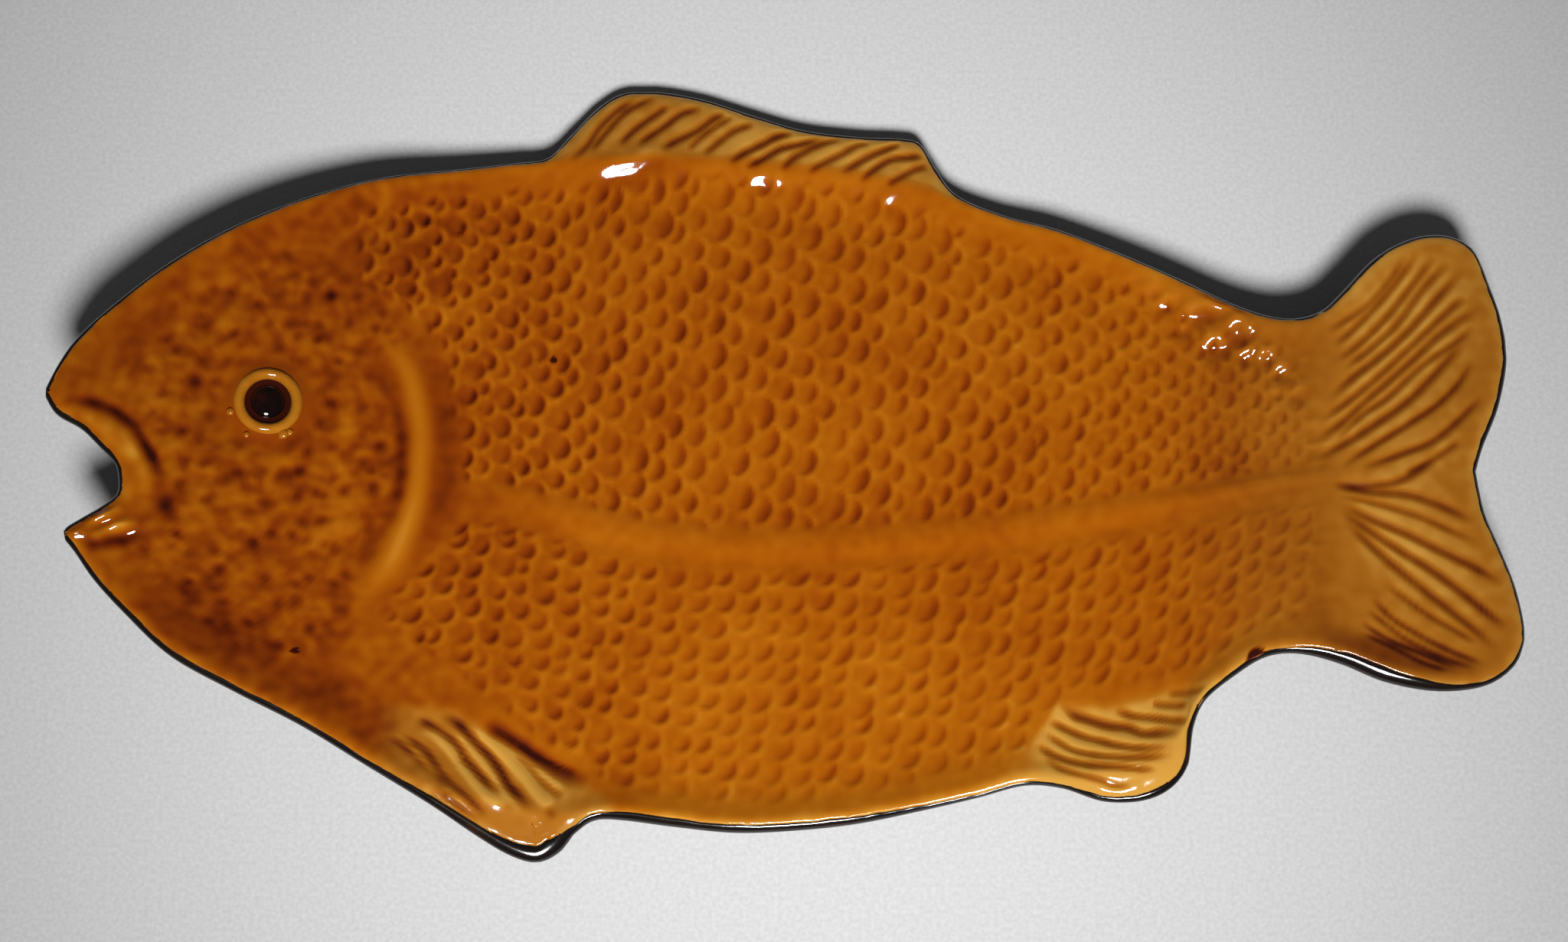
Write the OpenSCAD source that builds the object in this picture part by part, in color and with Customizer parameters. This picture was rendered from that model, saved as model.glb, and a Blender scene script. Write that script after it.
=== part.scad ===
// A slip-cast earthenware serving platter in the shape of a fish, seen from above with its head
// at -X, its tail at +X and its back at +Y. It stands on z = 0 with its origin under the middle.
// The dish is lofted across the fish, from the belly edge over the lateral line to the back edge.

/* [Platter] */
// Length from the upper lip to the tail
platter_length = 480; // [300:5:650]
// Width from the back fin to the breast fin
platter_width = 269; // [180:1:360]
// Depth of the well inside the rim
well_depth = 4; // [3:0.5:6]
// Width of the slope between the rim and the floor of the well
slope_width = 20; // [14:1:26]
// How much higher the platter sweeps up at the lips than at its middle
head_lift = 37; // [20:1:46]
// How much higher it sweeps up at the tail
tail_lift = 14; // [6:1:20]
// How far the fins fall away outside the rim
fin_fall = 5; // [0:0.5:6]
// Thickness of the cast clay
clay_thickness = 5; // [3.5:0.5:7]

/* [Glaze] */
// Thickness of each glaze coat
glaze_thickness = 0.8; // [0.4:0.1:1.2]
// How far the dark glaze wraps over the rim onto the face
edge_wrap = 1.6; // [0.8:0.2:2.4]

/* [Relief] */
// Depth of the dish of a scale
scale_depth = 1; // [0:0.1:2]
// Height of the lateral line over the scales
line_height = 1.6; // [0:0.1:2.5]
// Depth of the grooves between the fin rays
ray_depth = 1.5; // [0:0.1:2.5]
// Height of the gill cover's raised edge
gill_height = 2.2; // [0:0.1:3.5]
// Depth of the fold behind the lips
lip_fold = 1.4; // [0:0.1:2]
// Depth of the pebbling on the head
pebble_depth = 0.5; // [0:0.1:1]
// Width of the smooth lip along the edge
lip_width = 4; // [3:0.5:6]
// Width of the unscaled margin inside the edge
margin_width = 13; // [8:0.5:18]

/* [Eye] */
// Outer diameter of the raised ring round the eye
eye_ring_d = 23; // [16:0.5:30]
// Width of that ring
eye_ring_w = 4; // [3:0.5:6]
// Height of that ring
eye_ring_h = 2.4; // [1:0.2:4]
// Diameter of the dark bead in the ring
pupil_d = 10.5; // [6:0.5:14]
// Height of the dark bead
pupil_h = 1.8; // [1:0.2:3]

/* [Foot] */
// Length of the oval foot ring
foot_length = 200; // [160:5:230]
// Width of the oval foot ring
foot_width = 96; // [70:2:110]
// Height of the foot under the dark glaze at the middle
foot_height = 3; // [2:0.5:5]
// Width of the foot's bearing face
foot_land = 6; // [4:0.5:10]

/* [Hidden] */

// The edge of the fish as shares of its length and width, with the number of columns to the next
// point. Both edges start at the lips and end at the tips of the tail.
back_shares = [
    [-0.500, 0.045, 1], [-0.492, 0.083, 1], [-0.481, 0.119, 1], [-0.461, 0.162, 2],
    [-0.426, 0.224, 2], [-0.385, 0.279, 3], [-0.338, 0.325, 3], [-0.288, 0.359, 3],
    [-0.234, 0.378, 2], [-0.195, 0.391, 1], [-0.172, 0.400, 1], [-0.157, 0.432, 1],
    [-0.139, 0.472, 1], [-0.120, 0.497, 1], [-0.095, 0.500, 2], [-0.060, 0.488, 2],
    [-0.023, 0.464, 2], [0.013, 0.443, 2], [0.053, 0.434, 2], [0.083, 0.432, 1],
    [0.097, 0.424, 1], [0.108, 0.387, 1], [0.122, 0.349, 2], [0.155, 0.319, 2],
    [0.192, 0.297, 3], [0.233, 0.263, 2], [0.274, 0.225, 2], [0.312, 0.188, 2],
    [0.337, 0.171, 1], [0.356, 0.168, 1], [0.374, 0.179, 1], [0.390, 0.206, 2],
    [0.413, 0.248, 1], [0.439, 0.273, 1], [0.463, 0.277, 1], [0.482, 0.258, 1],
    [0.492, 0.209, 0]];
belly_shares = [
    [-0.482, -0.130, 1], [-0.473, -0.149, 1], [-0.461, -0.179, 1], [-0.441, -0.217, 2],
    [-0.410, -0.267, 2], [-0.370, -0.305, 3], [-0.325, -0.344, 3], [-0.281, -0.390, 3],
    [-0.239, -0.434, 1], [-0.208, -0.470, 1], [-0.186, -0.492, 1], [-0.168, -0.500, 1],
    [-0.153, -0.488, 1], [-0.142, -0.465, 1], [-0.129, -0.450, 1], [-0.110, -0.450, 2],
    [-0.075, -0.458, 2], [-0.034, -0.465, 2], [0.008, -0.462, 2], [0.048, -0.454, 3],
    [0.090, -0.439, 2], [0.128, -0.424, 2], [0.160, -0.410, 1], [0.185, -0.414, 2],
    [0.212, -0.430, 2], [0.238, -0.430, 1], [0.257, -0.416, 1], [0.269, -0.388, 1],
    [0.273, -0.345, 1], [0.282, -0.311, 1], [0.302, -0.282, 1], [0.323, -0.260, 1],
    [0.345, -0.256, 1], [0.372, -0.268, 2], [0.403, -0.291, 1], [0.438, -0.302, 2],
    [0.470, -0.295, 1], [0.490, -0.271, 1], [0.498, -0.241, 0]];
// The lateral line, carried on to the mouth's corner and to the notch of the tail, with columns
line_shares = [
    [-0.449, -0.059, 4], [-0.362, -0.055, 5], [-0.249, -0.050, 4], [-0.198, -0.051, 4],
    [-0.154, -0.068, 4], [-0.113, -0.090, 4], [-0.065, -0.104, 3], [-0.009, -0.108, 3],
    [0.046, -0.105, 5], [0.121, -0.095, 4], [0.185, -0.083, 5], [0.267, -0.063, 4],
    [0.332, -0.045, 3], [0.385, -0.033, 3], [0.431, -0.027, 3], [0.473, -0.030, 0]];
// The open mouth and the tail's end, each from the outer tip to the lateral line
upper_lip_shares = [[-0.500, 0.045], [-0.491, 0.020], [-0.475, 0.004], [-0.463, -0.016], [-0.452, -0.037],
    [-0.449, -0.059]];
lower_lip_shares = [[-0.482, -0.130], [-0.480, -0.119], [-0.471, -0.106], [-0.459, -0.090], [-0.450, -0.074],
    [-0.449, -0.059]];
upper_tail_shares = [[0.492, 0.209], [0.498, 0.167], [0.500, 0.115], [0.492, 0.054], [0.479, 0.001],
    [0.473, -0.030]];
lower_tail_shares = [[0.498, -0.241], [0.498, -0.215], [0.494, -0.173], [0.486, -0.128], [0.477, -0.082],
    [0.473, -0.030]];

// The fins that stand out of the body: the first and last column of the back fin, the breast fin
// and the belly fin, and how far the body swells under the fin's chord, as a share of the width
back_fin = [18, 37];
back_fin_swell_share = 0.030;
breast_fin = [12, 22];
breast_fin_swell_share = 0.020;
belly_fin = [38, 47];
belly_fin_swell_share = 0.025;
// Rows that the rays of the breast fin and of the belly fin take
fin_rows = 6;

// Rows of the loft: the lip and margin rows at each edge, then the scale rows, then the flank of
// the lateral line
margin_rows = 3;
back_scale_rows = 10;
belly_scale_rows = 9;
line_flank = line_height * 3.5;
belly_rows = margin_rows + belly_scale_rows + 1;
back_rows = margin_rows + back_scale_rows + 1;
rows = belly_rows + back_rows;

// Columns where the gill cover ends, where the scales stop and where the tail fin starts
gill_column = 9;
scale_end_column = 49;
tail_column = 50;
// The bow that the columns take round the gill cover, and how many columns it fades over
gill_bow_share = 0.020;
gill_bow_columns = 8;
// How far the deep corner of a scale lies towards the tail, as a share of a column
scale_lean_share = 0.35;
// Columns over which the shape of the mouth and of the tail's end fade into the loft
end_columns = 9;

// Where the platter starts to sweep up towards the lips and the power that the sweep follows, and
// where it starts to sweep up towards the tail and how long that sweep is
head_sweep_share = -0.146;
head_sweep_power = 1.35;
tail_sweep_share = 0.062;
tail_sweep_length_share = 0.302;
// Share of the slope over which it rounds off from the rim
rim_round_share = 0.14;
// Where the well has its tail depth, and the length over which it gets there
tail_base_share = 0.385;
tail_rise = platter_length * 0.125;
mouth_slope = platter_length * 0.13;
tail_end_slope = platter_length * 0.08;
tail_well_depth = well_depth * 0.5;
lip_drop = edge_wrap * 0.6;
edge_drop = clay_thickness * 0.45;
under_inset = clay_thickness * 0.4;

eye_shares = [-0.357, 0.056];
eye_centre = [eye_shares[0] * platter_length, eye_shares[1] * platter_width];
eye_flat_r = eye_ring_d / 2 * 1.6;
eye_fade = eye_ring_d * 0.5;

foot_centre_shares = [-0.035, -0.040];
foot_step = 360 / 72;
// Facets round the eye, and the step of the arc that its ring and bead are turned from
eye_facets = 64;
arc_step = 15;

// Height of the well's floor over the table
floor_z = foot_height + clay_thickness + 2 * glaze_thickness;

// Curve through four points, from the second to the third
function curve(a, b, c, d, t) =
    ((2 * b) + (c - a) * t + (2 * a - 5 * b + 4 * c - d) * t * t + (3 * b - a - 3 * c + d) * t * t * t) / 2;
// A point of a list, with its ends carried on
function held(points, k) = points[max(0, min(len(points) - 1, k))];
function in_mm(share) = [share[0] * platter_length, share[1] * platter_width];
// Points along a list of shares, each followed by as many columns as it says
function edge_points(shares) = [
    for (k = [0:len(shares) - 2])
        for (s = [0:shares[k][2] - 1])
            in_mm(curve(held(shares, k - 1), shares[k], shares[k + 1], held(shares, k + 2), s / shares[k][2])),
    in_mm(shares[len(shares) - 1])];
// Place at a share t of the way along a list of evenly weighted points
function along(shares, t) =
    let (
        last = len(shares) - 1,
        k = min(last - 1, floor(t * last)))
    in_mm(curve(held(shares, k - 1), shares[k], shares[k + 1], held(shares, k + 2), t * last - k));
function smooth(t) =
    let (c = max(0, min(1, t)))
    c * c * (3 - 2 * c);
function mix(a, b, t) = a + (b - a) * t;

back = edge_points(back_shares);
belly = edge_points(belly_shares);
line = edge_points(line_shares);
columns = len(back) - 1;

// How far a fin stands out of the body at column i of an edge
function fin_reach(edge, i, fin, swell) =
    i <= fin[0] || i >= fin[1] ? 0 :
    let (
        t = (i - fin[0]) / (fin[1] - fin[0]),
        base = mix(edge[fin[0]], edge[fin[1]], t),
        out = swell * platter_width * 4 * t * (1 - t) * sign(edge[i][1]))
    max(0, abs(edge[i][1]) - abs(base[1] + out));
back_fin_reach = [for (i = [0:columns]) fin_reach(back, i, back_fin, back_fin_swell_share)];
belly_fin_reach = [for (i = [0:columns])
    fin_reach(belly, i, breast_fin, breast_fin_swell_share) +
    fin_reach(belly, i, belly_fin, belly_fin_swell_share)];
back_span = [for (i = [0:columns]) norm(back[i] - line[i])];
belly_span = [for (i = [0:columns]) norm(belly[i] - line[i])];

// Distance of row n from its edge: lip, middle of the margin or fin, shoulder, scale rows, line
function station(n, span, reach, scale_rows) =
    let (
        shoulder = reach + margin_width,
        inner = span - line_flank - shoulder)
    n == 0 ? 0 :
    n == 1 ? lip_width :
    n == 2 ? mix(lip_width, shoulder, 1 / 2) :
    n <= margin_rows + scale_rows ? shoulder + inner * (n - margin_rows) / scale_rows :
    span;
// Distance of the vertex in row j from the belly edge and from the back edge
function from_belly(i, j) =
    j <= belly_rows ? station(j, belly_span[i], belly_fin_reach[i], belly_scale_rows) :
    belly_span[i] + back_span[i] - station(rows - j, back_span[i], back_fin_reach[i], back_scale_rows);
function from_back(i, j) = belly_span[i] + back_span[i] - from_belly(i, j);

// Place of the vertex in column i and row j, seen from above
function plan(i, j) =
    let (
        upper = j > belly_rows,
        edge = upper ? back[i] : belly[i],
        first = upper ? back[0] : belly[0],
        last = upper ? back[columns] : belly[columns],
        t = upper ? from_back(i, j) / back_span[i] : from_belly(i, j) / belly_span[i],
        head_fade = pow(max(0, 1 - i / end_columns), 2),
        tail_fade = pow(max(0, 1 - (columns - i) / end_columns), 2),
        lip = upper ? along(upper_lip_shares, t) : along(lower_lip_shares, t),
        end = upper ? along(upper_tail_shares, t) : along(lower_tail_shares, t),
        gill = (i - gill_column) / gill_bow_columns,
        bow = gill_bow_share * platter_length * exp(-gill * gill) * sin(180 * t))
    mix(edge, line[i], t)
        + head_fade * (lip - mix(first, line[0], t))
        + tail_fade * (end - mix(last, line[columns], t))
        + [bow * (1 - head_fade), 0];
places = [for (i = [0:columns]) [for (j = [0:rows]) plan(i, j)]];

// The edge of the platter in order, as column and row: belly, tail, back, mouth
ring = [
    for (i = [0:columns]) [i, 0],
    for (j = [1:rows]) [columns, j],
    for (i = [columns - 1:-1:0]) [i, rows],
    for (j = [rows - 1:-1:1]) [0, j]];
ring_count = len(ring);
function ring_place(k) =
    let (v = ring[(k + ring_count) % ring_count])
    places[v[0]][v[1]];
// The edge moved inwards by d
function ring_inset(k, d) =
    let (
        way = ring_place(k + 1) - ring_place(k - 1),
        inward = [-way[1], way[0]] / norm(way))
    ring_place(k) + inward * d;
function on_edge(i, j) = i == 0 || i == columns || j == 0 || j == rows;
function ring_index(i, j) =
    j == 0 ? i :
    i == columns ? columns + j :
    j == rows ? 2 * columns + rows - i :
    2 * (columns + rows) - j;
// Whether a vertex is the deep corner of a scale
function in_scales(i, j) =
    i > gill_column + 1 && i < scale_end_column && min(j, rows - j) > margin_rows && j != belly_rows
    && !in_low_fin(i, j);
function in_low_fin(i, j) =
    j <= fin_rows && (i > breast_fin[0] && i < breast_fin[1] || i > belly_fin[0] && i < belly_fin[1]);
function is_deep(i, j) = (i + j) % 2 == 0;
// Plan of the face's mesh: its outer vertices stand in from the edge by the wrap of the dark glaze,
// and the deep corner of each scale lies towards its tail end
face_places = [for (i = [0:columns]) [for (j = [0:rows])
    on_edge(i, j) ? ring_inset(ring_index(i, j), edge_wrap) :
    in_scales(i, j) && is_deep(i, j) ? mix(places[i][j], places[i + 1][j], scale_lean_share) :
    places[i][j]]];

// How much higher the platter is at a place along the fish than at its middle
function lift(x) =
    let (
        head_x = head_sweep_share * platter_length,
        tail_x = tail_sweep_share * platter_length,
        to_head = (head_x - x) / (head_x + platter_length / 2),
        to_tail = (x - tail_x) / (tail_sweep_length_share * platter_length))
    head_lift * pow(max(0, to_head), head_sweep_power) + tail_lift * smooth(to_tail);
function well_floor_z(x) = floor_z + lift(x);
function rim_z(x) = well_floor_z(x) + well_depth;
// How far a fin has fallen away from the rim in column i and row j
fin_slope = fin_fall / max(concat(back_fin_reach, belly_fin_reach));
function fin_drop(i, j) =
    fin_slope * (max(0, back_fin_reach[i] - from_back(i, j)) + max(0, belly_fin_reach[i] - from_belly(i, j)));
// The flat that the eye stands on, which lies along the sweep of the head
eye_slope = (lift(eye_centre[0] + eye_flat_r) - lift(eye_centre[0] - eye_flat_r)) / (2 * eye_flat_r);
function eye_flat_z(x) = well_floor_z(eye_centre[0]) + eye_slope * (x - eye_centre[0]);
// How much of the well's depth is reached at a distance from the rim
function slope_fall(distance, width) =
    let (
        t = max(0, distance / width),
        turned_over = t < rim_round_share ? t * t / (2 * rim_round_share) : t - rim_round_share / 2)
    sin(90 * min(1, turned_over / (1 - rim_round_share / 2)));

// Height of the plain dish, without its relief
function dish(i, j) =
    let (
        p = places[i][j],
        mouth = slope_fall(p[0] - places[0][j][0], mouth_slope),
        tail_end = smooth((places[columns][j][0] - p[0]) / tail_end_slope),
        to_belly = slope_fall(from_belly(i, j) - belly_fin_reach[i], slope_width),
        to_back = slope_fall(from_back(i, j) - back_fin_reach[i], slope_width),
        body = smooth((tail_base_share * platter_length - p[0]) / tail_rise),
        eye = smooth(1 - (norm(p - eye_centre) - eye_flat_r) / eye_fade),
        depth = mix(tail_well_depth, well_depth, body) * to_belly * to_back * mouth * tail_end,
        rim = rim_z(p[0]) - fin_drop(i, j))
    on_edge(i, j) ? rim - lip_drop : mix(rim - depth, eye_flat_z(p[0]), eye);

// Relief in column i and row j: the dished scales, the rays of the fins, the raised edge of the
// gill cover, the pebbled cheek, the fold of the lips and the lateral line
function relief(i, j) =
    let (
        back_n = rows - j,
        edge_n = min(j, back_n),
        near_eye = smooth(1 - (norm(places[i][j] - eye_centre) - eye_flat_r) / eye_fade),
        wave = sin(i * 137) * cos(j * 91))
    on_edge(i, j) ? 0 :
    i >= tail_column ? (edge_n < 2 || i > columns - 3 ? 0 : j % 2 == 0 ? -ray_depth : 0) :
    back_n <= 3 && back_n > 1 && back_fin_reach[i] > lip_width ? ((i + back_n) % 2 == 0 ? -ray_depth : 0) :
    in_low_fin(i, j) ? (edge_n > 1 && j % 2 == 0 ? -ray_depth : 0) :
    edge_n <= margin_rows ? 0 :
    in_scales(i, j) ? (is_deep(i, j) ? -scale_depth : 0) :
    i > gill_column + 1 && i < scale_end_column ? line_height :
    i == gill_column ? gill_height :
    i == gill_column - 1 || i == gill_column + 1 ? -gill_height / 3 :
    i == 1 ? lip_fold / 2 :
    i == 2 ? -lip_fold :
    i < gill_column ? (1 - near_eye) * pebble_depth * (wave - 1) :
    0;

face_clay = [for (i = [0:columns]) for (j = [0:rows])
    [face_places[i][j][0], face_places[i][j][1], dish(i, j) + relief(i, j) - (on_edge(i, j) ? 0 : glaze_thickness)]];
face_glaze = [for (i = [0:columns]) for (j = [0:rows])
    [face_places[i][j][0], face_places[i][j][1], dish(i, j) + relief(i, j)]];
function face_index(i, j) = i * (rows + 1) + j;

// Triangles of the face, split so that the deep corner of each scale is a pit, and so that the
// corners of the mesh keep a vertex inside the edge
face_triangles = [for (i = [0:columns - 1]) for (j = [0:rows - 1])
    let (
        a = face_index(i, j),
        b = face_index(i + 1, j),
        c = face_index(i + 1, j + 1),
        d = face_index(i, j + 1),
        end_column = i == 0 || i == columns - 1,
        end_row = j == 0 || j == rows - 1,
        falling = end_column && end_row ? (i == 0) != (j == 0) : (i + j) % 2 == 0)
    each falling ? [[a, b, d], [b, c, d]] : [[a, b, c], [a, c, d]]];

// The underside takes fewer columns and rows, and all of the edge
under_columns = [for (i = [0:columns]) if (i < gill_column - 1 || (columns - i) % 2 == 0) i];
under_rows = [
    0,
    for (j = [2:2:belly_rows - 2]) j,
    for (j = [belly_rows:2:rows - 3]) j,
    rows - 2,
    rows];
function under_z(i, j, coat) =
    dish(i, j) - (on_edge(i, j) ? 0 : glaze_thickness) - clay_thickness - coat;
function under_points(coat) = [for (i = [0:columns]) for (j = [0:rows])
    let (p = on_edge(i, j) ? ring_inset(ring_index(i, j), under_inset - coat) : places[i][j])
    [p[0], p[1], under_z(i, j, coat)]];

// One cell of the underside as a fan from its inner corner, with every vertex of the edge it has
function cell_fan(i0, i1, j0, j1) =
    let (
        loop = [
            for (i = [i0:1:i1 - 1]) if (i == i0 || j0 == 0) [i, j0],
            for (j = [j0:1:j1 - 1]) if (j == j0 || i1 == columns) [i1, j],
            for (i = [i1:-1:i0 + 1]) if (i == i1 || j1 == rows) [i, j1],
            for (j = [j1:-1:j0 + 1]) if (j == j1 || i0 == 0) [i0, j]],
        apex = [i0 == 0 ? i1 : i0, j0 == 0 ? j1 : j0],
        n = len(loop))
    [for (k = [0:n - 1])
        let (p = loop[k], q = loop[(k + 1) % n])
        if (p != apex && q != apex)
            [face_index(apex[0], apex[1]), face_index(p[0], p[1]), face_index(q[0], q[1])]];
under_triangles = [
    for (m = [0:len(under_columns) - 2]) for (n = [0:len(under_rows) - 2])
        each cell_fan(under_columns[m], under_columns[m + 1], under_rows[n], under_rows[n + 1])];

function turned(triangles) = [for (t = triangles) [t[2], t[1], t[0]]];
function moved(triangles, by) = [for (t = triangles) [t[0] + by, t[1] + by, t[2] + by]];
// Wall between two closed rings of vertices, given as functions of the place along the edge
function wall(low_ring, high_ring) = [for (k = [0:ring_count - 1])
    let (n = (k + 1) % ring_count)
    each [[low_ring[k], low_ring[n], high_ring[n]], [low_ring[k], high_ring[n], high_ring[k]]]];
face_ring = [for (v = ring) face_index(v[0], v[1])];
face_count = (columns + 1) * (rows + 1);

// The clay with so much of the coat under it, and with its face raised
module clay_solid(coat, raised) {
    polyhedron(
        points = concat([for (p = face_clay) p + [0, 0, raised]], under_points(coat)),
        faces = turned(concat(
            face_triangles,
            turned(moved(under_triangles, face_count)),
            wall([for (v = face_ring) v + face_count], face_ring))),
        convexity = 6);
}

module earthenware_body() {
    color("burlywood")
        clay_solid(0, 0);
}

module amber_glaze() {
    color("darkorange")
        polyhedron(
            points = concat(face_clay, face_glaze),
            faces = turned(concat(
                [for (t = face_triangles) [for (v = t) shared(v)]],
                turned(face_triangles))),
            convexity = 6);
}
// A vertex of the upper skin, which meets the lower skin along the edge
function shared(v) =
    let (
        i = floor(v / (rows + 1)),
        j = v % (rows + 1))
    on_edge(i, j) ? v : v + face_count;

module black_glaze() {
    outer_edge = [for (k = [0:ring_count - 1])
        let (p = ring_place(k))
        [p[0], p[1], dish(ring[k][0], ring[k][1]) - edge_drop]];
    edge_start = 3 * face_count;
    outer_ring = [for (k = [0:ring_count - 1]) edge_start + k];
    color([0.07, 0.06, 0.06])
        polyhedron(
            points = concat(face_clay, under_points(0), under_points(glaze_thickness), outer_edge),
            faces = turned(concat(
                moved(under_triangles, face_count),
                turned(moved(under_triangles, 2 * face_count)),
                turned(wall([for (v = face_ring) v + face_count], face_ring)),
                wall(outer_ring, face_ring),
                wall([for (v = face_ring) v + 2 * face_count], outer_ring))),
            convexity = 6);
}

module oval(length, width) {
    polygon([for (a = [0:foot_step:360 - foot_step]) [length / 2 * cos(a), width / 2 * sin(a)]]);
}

module foot_ring() {
    foot_x = foot_centre_shares[0] * platter_length;
    foot_y = foot_centre_shares[1] * platter_width;
    top = max(well_floor_z(foot_x - foot_length / 2), well_floor_z(foot_x + foot_length / 2));
    color("tan")
        difference() {
            translate([foot_x, foot_y, 0])
                linear_extrude(height = top)
                    difference() {
                        oval(foot_length, foot_width);
                        oval(foot_length - 2 * foot_land, foot_width - 2 * foot_land);
                    }
            clay_solid(glaze_thickness, top);
        }
}

module on_eye_flat() {
    translate([eye_centre[0], eye_centre[1], eye_flat_z(eye_centre[0])])
        rotate([0, -atan(eye_slope), 0])
            children();
}

module eye_ring() {
    middle = (eye_ring_d - eye_ring_w) / 2;
    color("goldenrod")
        on_eye_flat()
            rotate_extrude($fn = eye_facets)
                polygon([for (a = [0:arc_step:180]) [middle + eye_ring_w / 2 * cos(a), eye_ring_h * sin(a)]]);
}

module eye_pupil() {
    color([0.12, 0.04, 0.02])
        on_eye_flat()
            rotate_extrude($fn = eye_facets)
                polygon([[0, 0], for (a = [0:arc_step:90]) [pupil_d / 2 * cos(a), pupil_h * sin(a)]]);
}

earthenware_body();
amber_glaze();
black_glaze();
foot_ring();
eye_ring();
eye_pupil();
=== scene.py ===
import math

import bpy
import numpy as np
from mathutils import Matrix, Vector, kdtree, noise


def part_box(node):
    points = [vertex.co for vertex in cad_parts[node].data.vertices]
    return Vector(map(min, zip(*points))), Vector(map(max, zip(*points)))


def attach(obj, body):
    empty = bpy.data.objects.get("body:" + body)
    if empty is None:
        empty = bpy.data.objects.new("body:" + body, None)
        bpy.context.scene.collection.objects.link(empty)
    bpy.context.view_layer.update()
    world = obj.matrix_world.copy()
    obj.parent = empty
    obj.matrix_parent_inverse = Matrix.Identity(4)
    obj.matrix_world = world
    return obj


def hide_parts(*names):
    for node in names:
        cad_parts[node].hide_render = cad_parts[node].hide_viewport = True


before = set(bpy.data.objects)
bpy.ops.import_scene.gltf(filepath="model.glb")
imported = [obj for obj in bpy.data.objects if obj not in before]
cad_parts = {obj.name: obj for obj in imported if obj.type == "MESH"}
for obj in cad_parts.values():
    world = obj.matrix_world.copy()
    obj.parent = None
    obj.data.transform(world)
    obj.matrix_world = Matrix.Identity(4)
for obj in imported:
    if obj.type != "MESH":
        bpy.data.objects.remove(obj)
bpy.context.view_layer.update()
mm = 0.001

# The clay body
# A fish-shaped dish of pale buff earthenware, slip-cast in one pour in a two-part plaster mould.
# The upper half of the mould carries the scales, fins and head, so they stand in the clay itself.
length = 480 * mm
width = 269 * mm
clay_thickness = 5 * mm
glaze_thickness = 0.8 * mm
foot_height = 3 * mm
well_depth = 4 * mm
slope_width = 20 * mm
margin_width = 13 * mm
floor_height = foot_height + clay_thickness + 2 * glaze_thickness

# The edges of the fish in thousandths of its length and width, with the columns to the next point
back_shares = [
    [-500, 45, 1], [-492, 83, 1], [-481, 119, 1], [-461, 162, 2], [-426, 224, 2], [-385, 279, 3],
    [-338, 325, 3], [-288, 359, 3], [-234, 378, 2], [-195, 391, 1], [-172, 400, 1], [-157, 432, 1],
    [-139, 472, 1], [-120, 497, 1], [-95, 500, 2], [-60, 488, 2], [-23, 464, 2], [13, 443, 2],
    [53, 434, 2], [83, 432, 1], [97, 424, 1], [108, 387, 1], [122, 349, 2], [155, 319, 2],
    [192, 297, 3], [233, 263, 2], [274, 225, 2], [312, 188, 2], [337, 171, 1], [356, 168, 1],
    [374, 179, 1], [390, 206, 2], [413, 248, 1], [439, 273, 1], [463, 277, 1], [482, 258, 1],
    [492, 209, 0]]
belly_shares = [
    [-482, -130, 1], [-473, -149, 1], [-461, -179, 1], [-441, -217, 2], [-410, -267, 2],
    [-370, -305, 3], [-325, -344, 3], [-281, -390, 3], [-239, -434, 1], [-208, -470, 1],
    [-186, -492, 1], [-168, -500, 1], [-153, -488, 1], [-142, -465, 1], [-129, -450, 1],
    [-110, -450, 2], [-75, -458, 2], [-34, -465, 2], [8, -462, 2], [48, -454, 3], [90, -439, 2],
    [128, -424, 2], [160, -410, 1], [185, -414, 2], [212, -430, 2], [238, -430, 1], [257, -416, 1],
    [269, -388, 1], [273, -345, 1], [282, -311, 1], [302, -282, 1], [323, -260, 1], [345, -256, 1],
    [372, -268, 2], [403, -291, 1], [438, -302, 2], [470, -295, 1], [490, -271, 1], [498, -241, 0]]
line_shares = [
    [-449, -59, 4], [-362, -55, 5], [-249, -50, 4], [-198, -51, 4], [-154, -68, 4], [-113, -90, 4],
    [-65, -104, 3], [-9, -108, 3], [46, -105, 5], [121, -95, 4], [185, -83, 5], [267, -63, 4],
    [332, -45, 3], [385, -33, 3], [431, -27, 3], [473, -30, 0]]
upper_lip_shares = [
    [-500, 45, 1], [-491, 20, 1], [-475, 4, 1], [-463, -16, 1], [-452, -37, 1], [-449, -59, 0]]
lower_lip_shares = [
    [-482, -130, 1], [-480, -119, 1], [-471, -106, 1], [-459, -90, 1], [-450, -74, 1],
    [-449, -59, 0]]
upper_tail_shares = [
    [492, 209, 1], [498, 167, 1], [500, 115, 1], [492, 54, 1], [479, 1, 1], [473, -30, 0]]
lower_tail_shares = [
    [498, -241, 1], [498, -215, 1], [494, -173, 1], [486, -128, 1], [477, -82, 1], [473, -30, 0]]
last_column = sum(point[2] for point in back_shares)
end_columns = 9
gill_column = 9
gill_bow = 0.020 * length
gill_bow_columns = 8
back_fins = [(18, 37, 0.030)]
belly_fins = [(12, 22, 0.020), (38, 47, 0.025)]


def smooth(t):
    t = np.clip(t, 0, 1)
    return t * t * (3 - 2 * t)


def rise(values, start, span):
    """From 0 at a start to 1 a span beyond it, both in millimetres."""
    return smooth((values - start * mm) / (span * mm))


def fall(values, end, span):
    """From 1 a span before an end to 0 at the end, both in millimetres."""
    return smooth((end * mm - values) / (span * mm))


def swell(values, middle, spread):
    """1 at the middle, sinking to both sides over a spread."""
    return np.exp(-(((values - middle) / spread) ** 2))


def mix(a, b, t):
    return a + (b - a) * t


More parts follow.
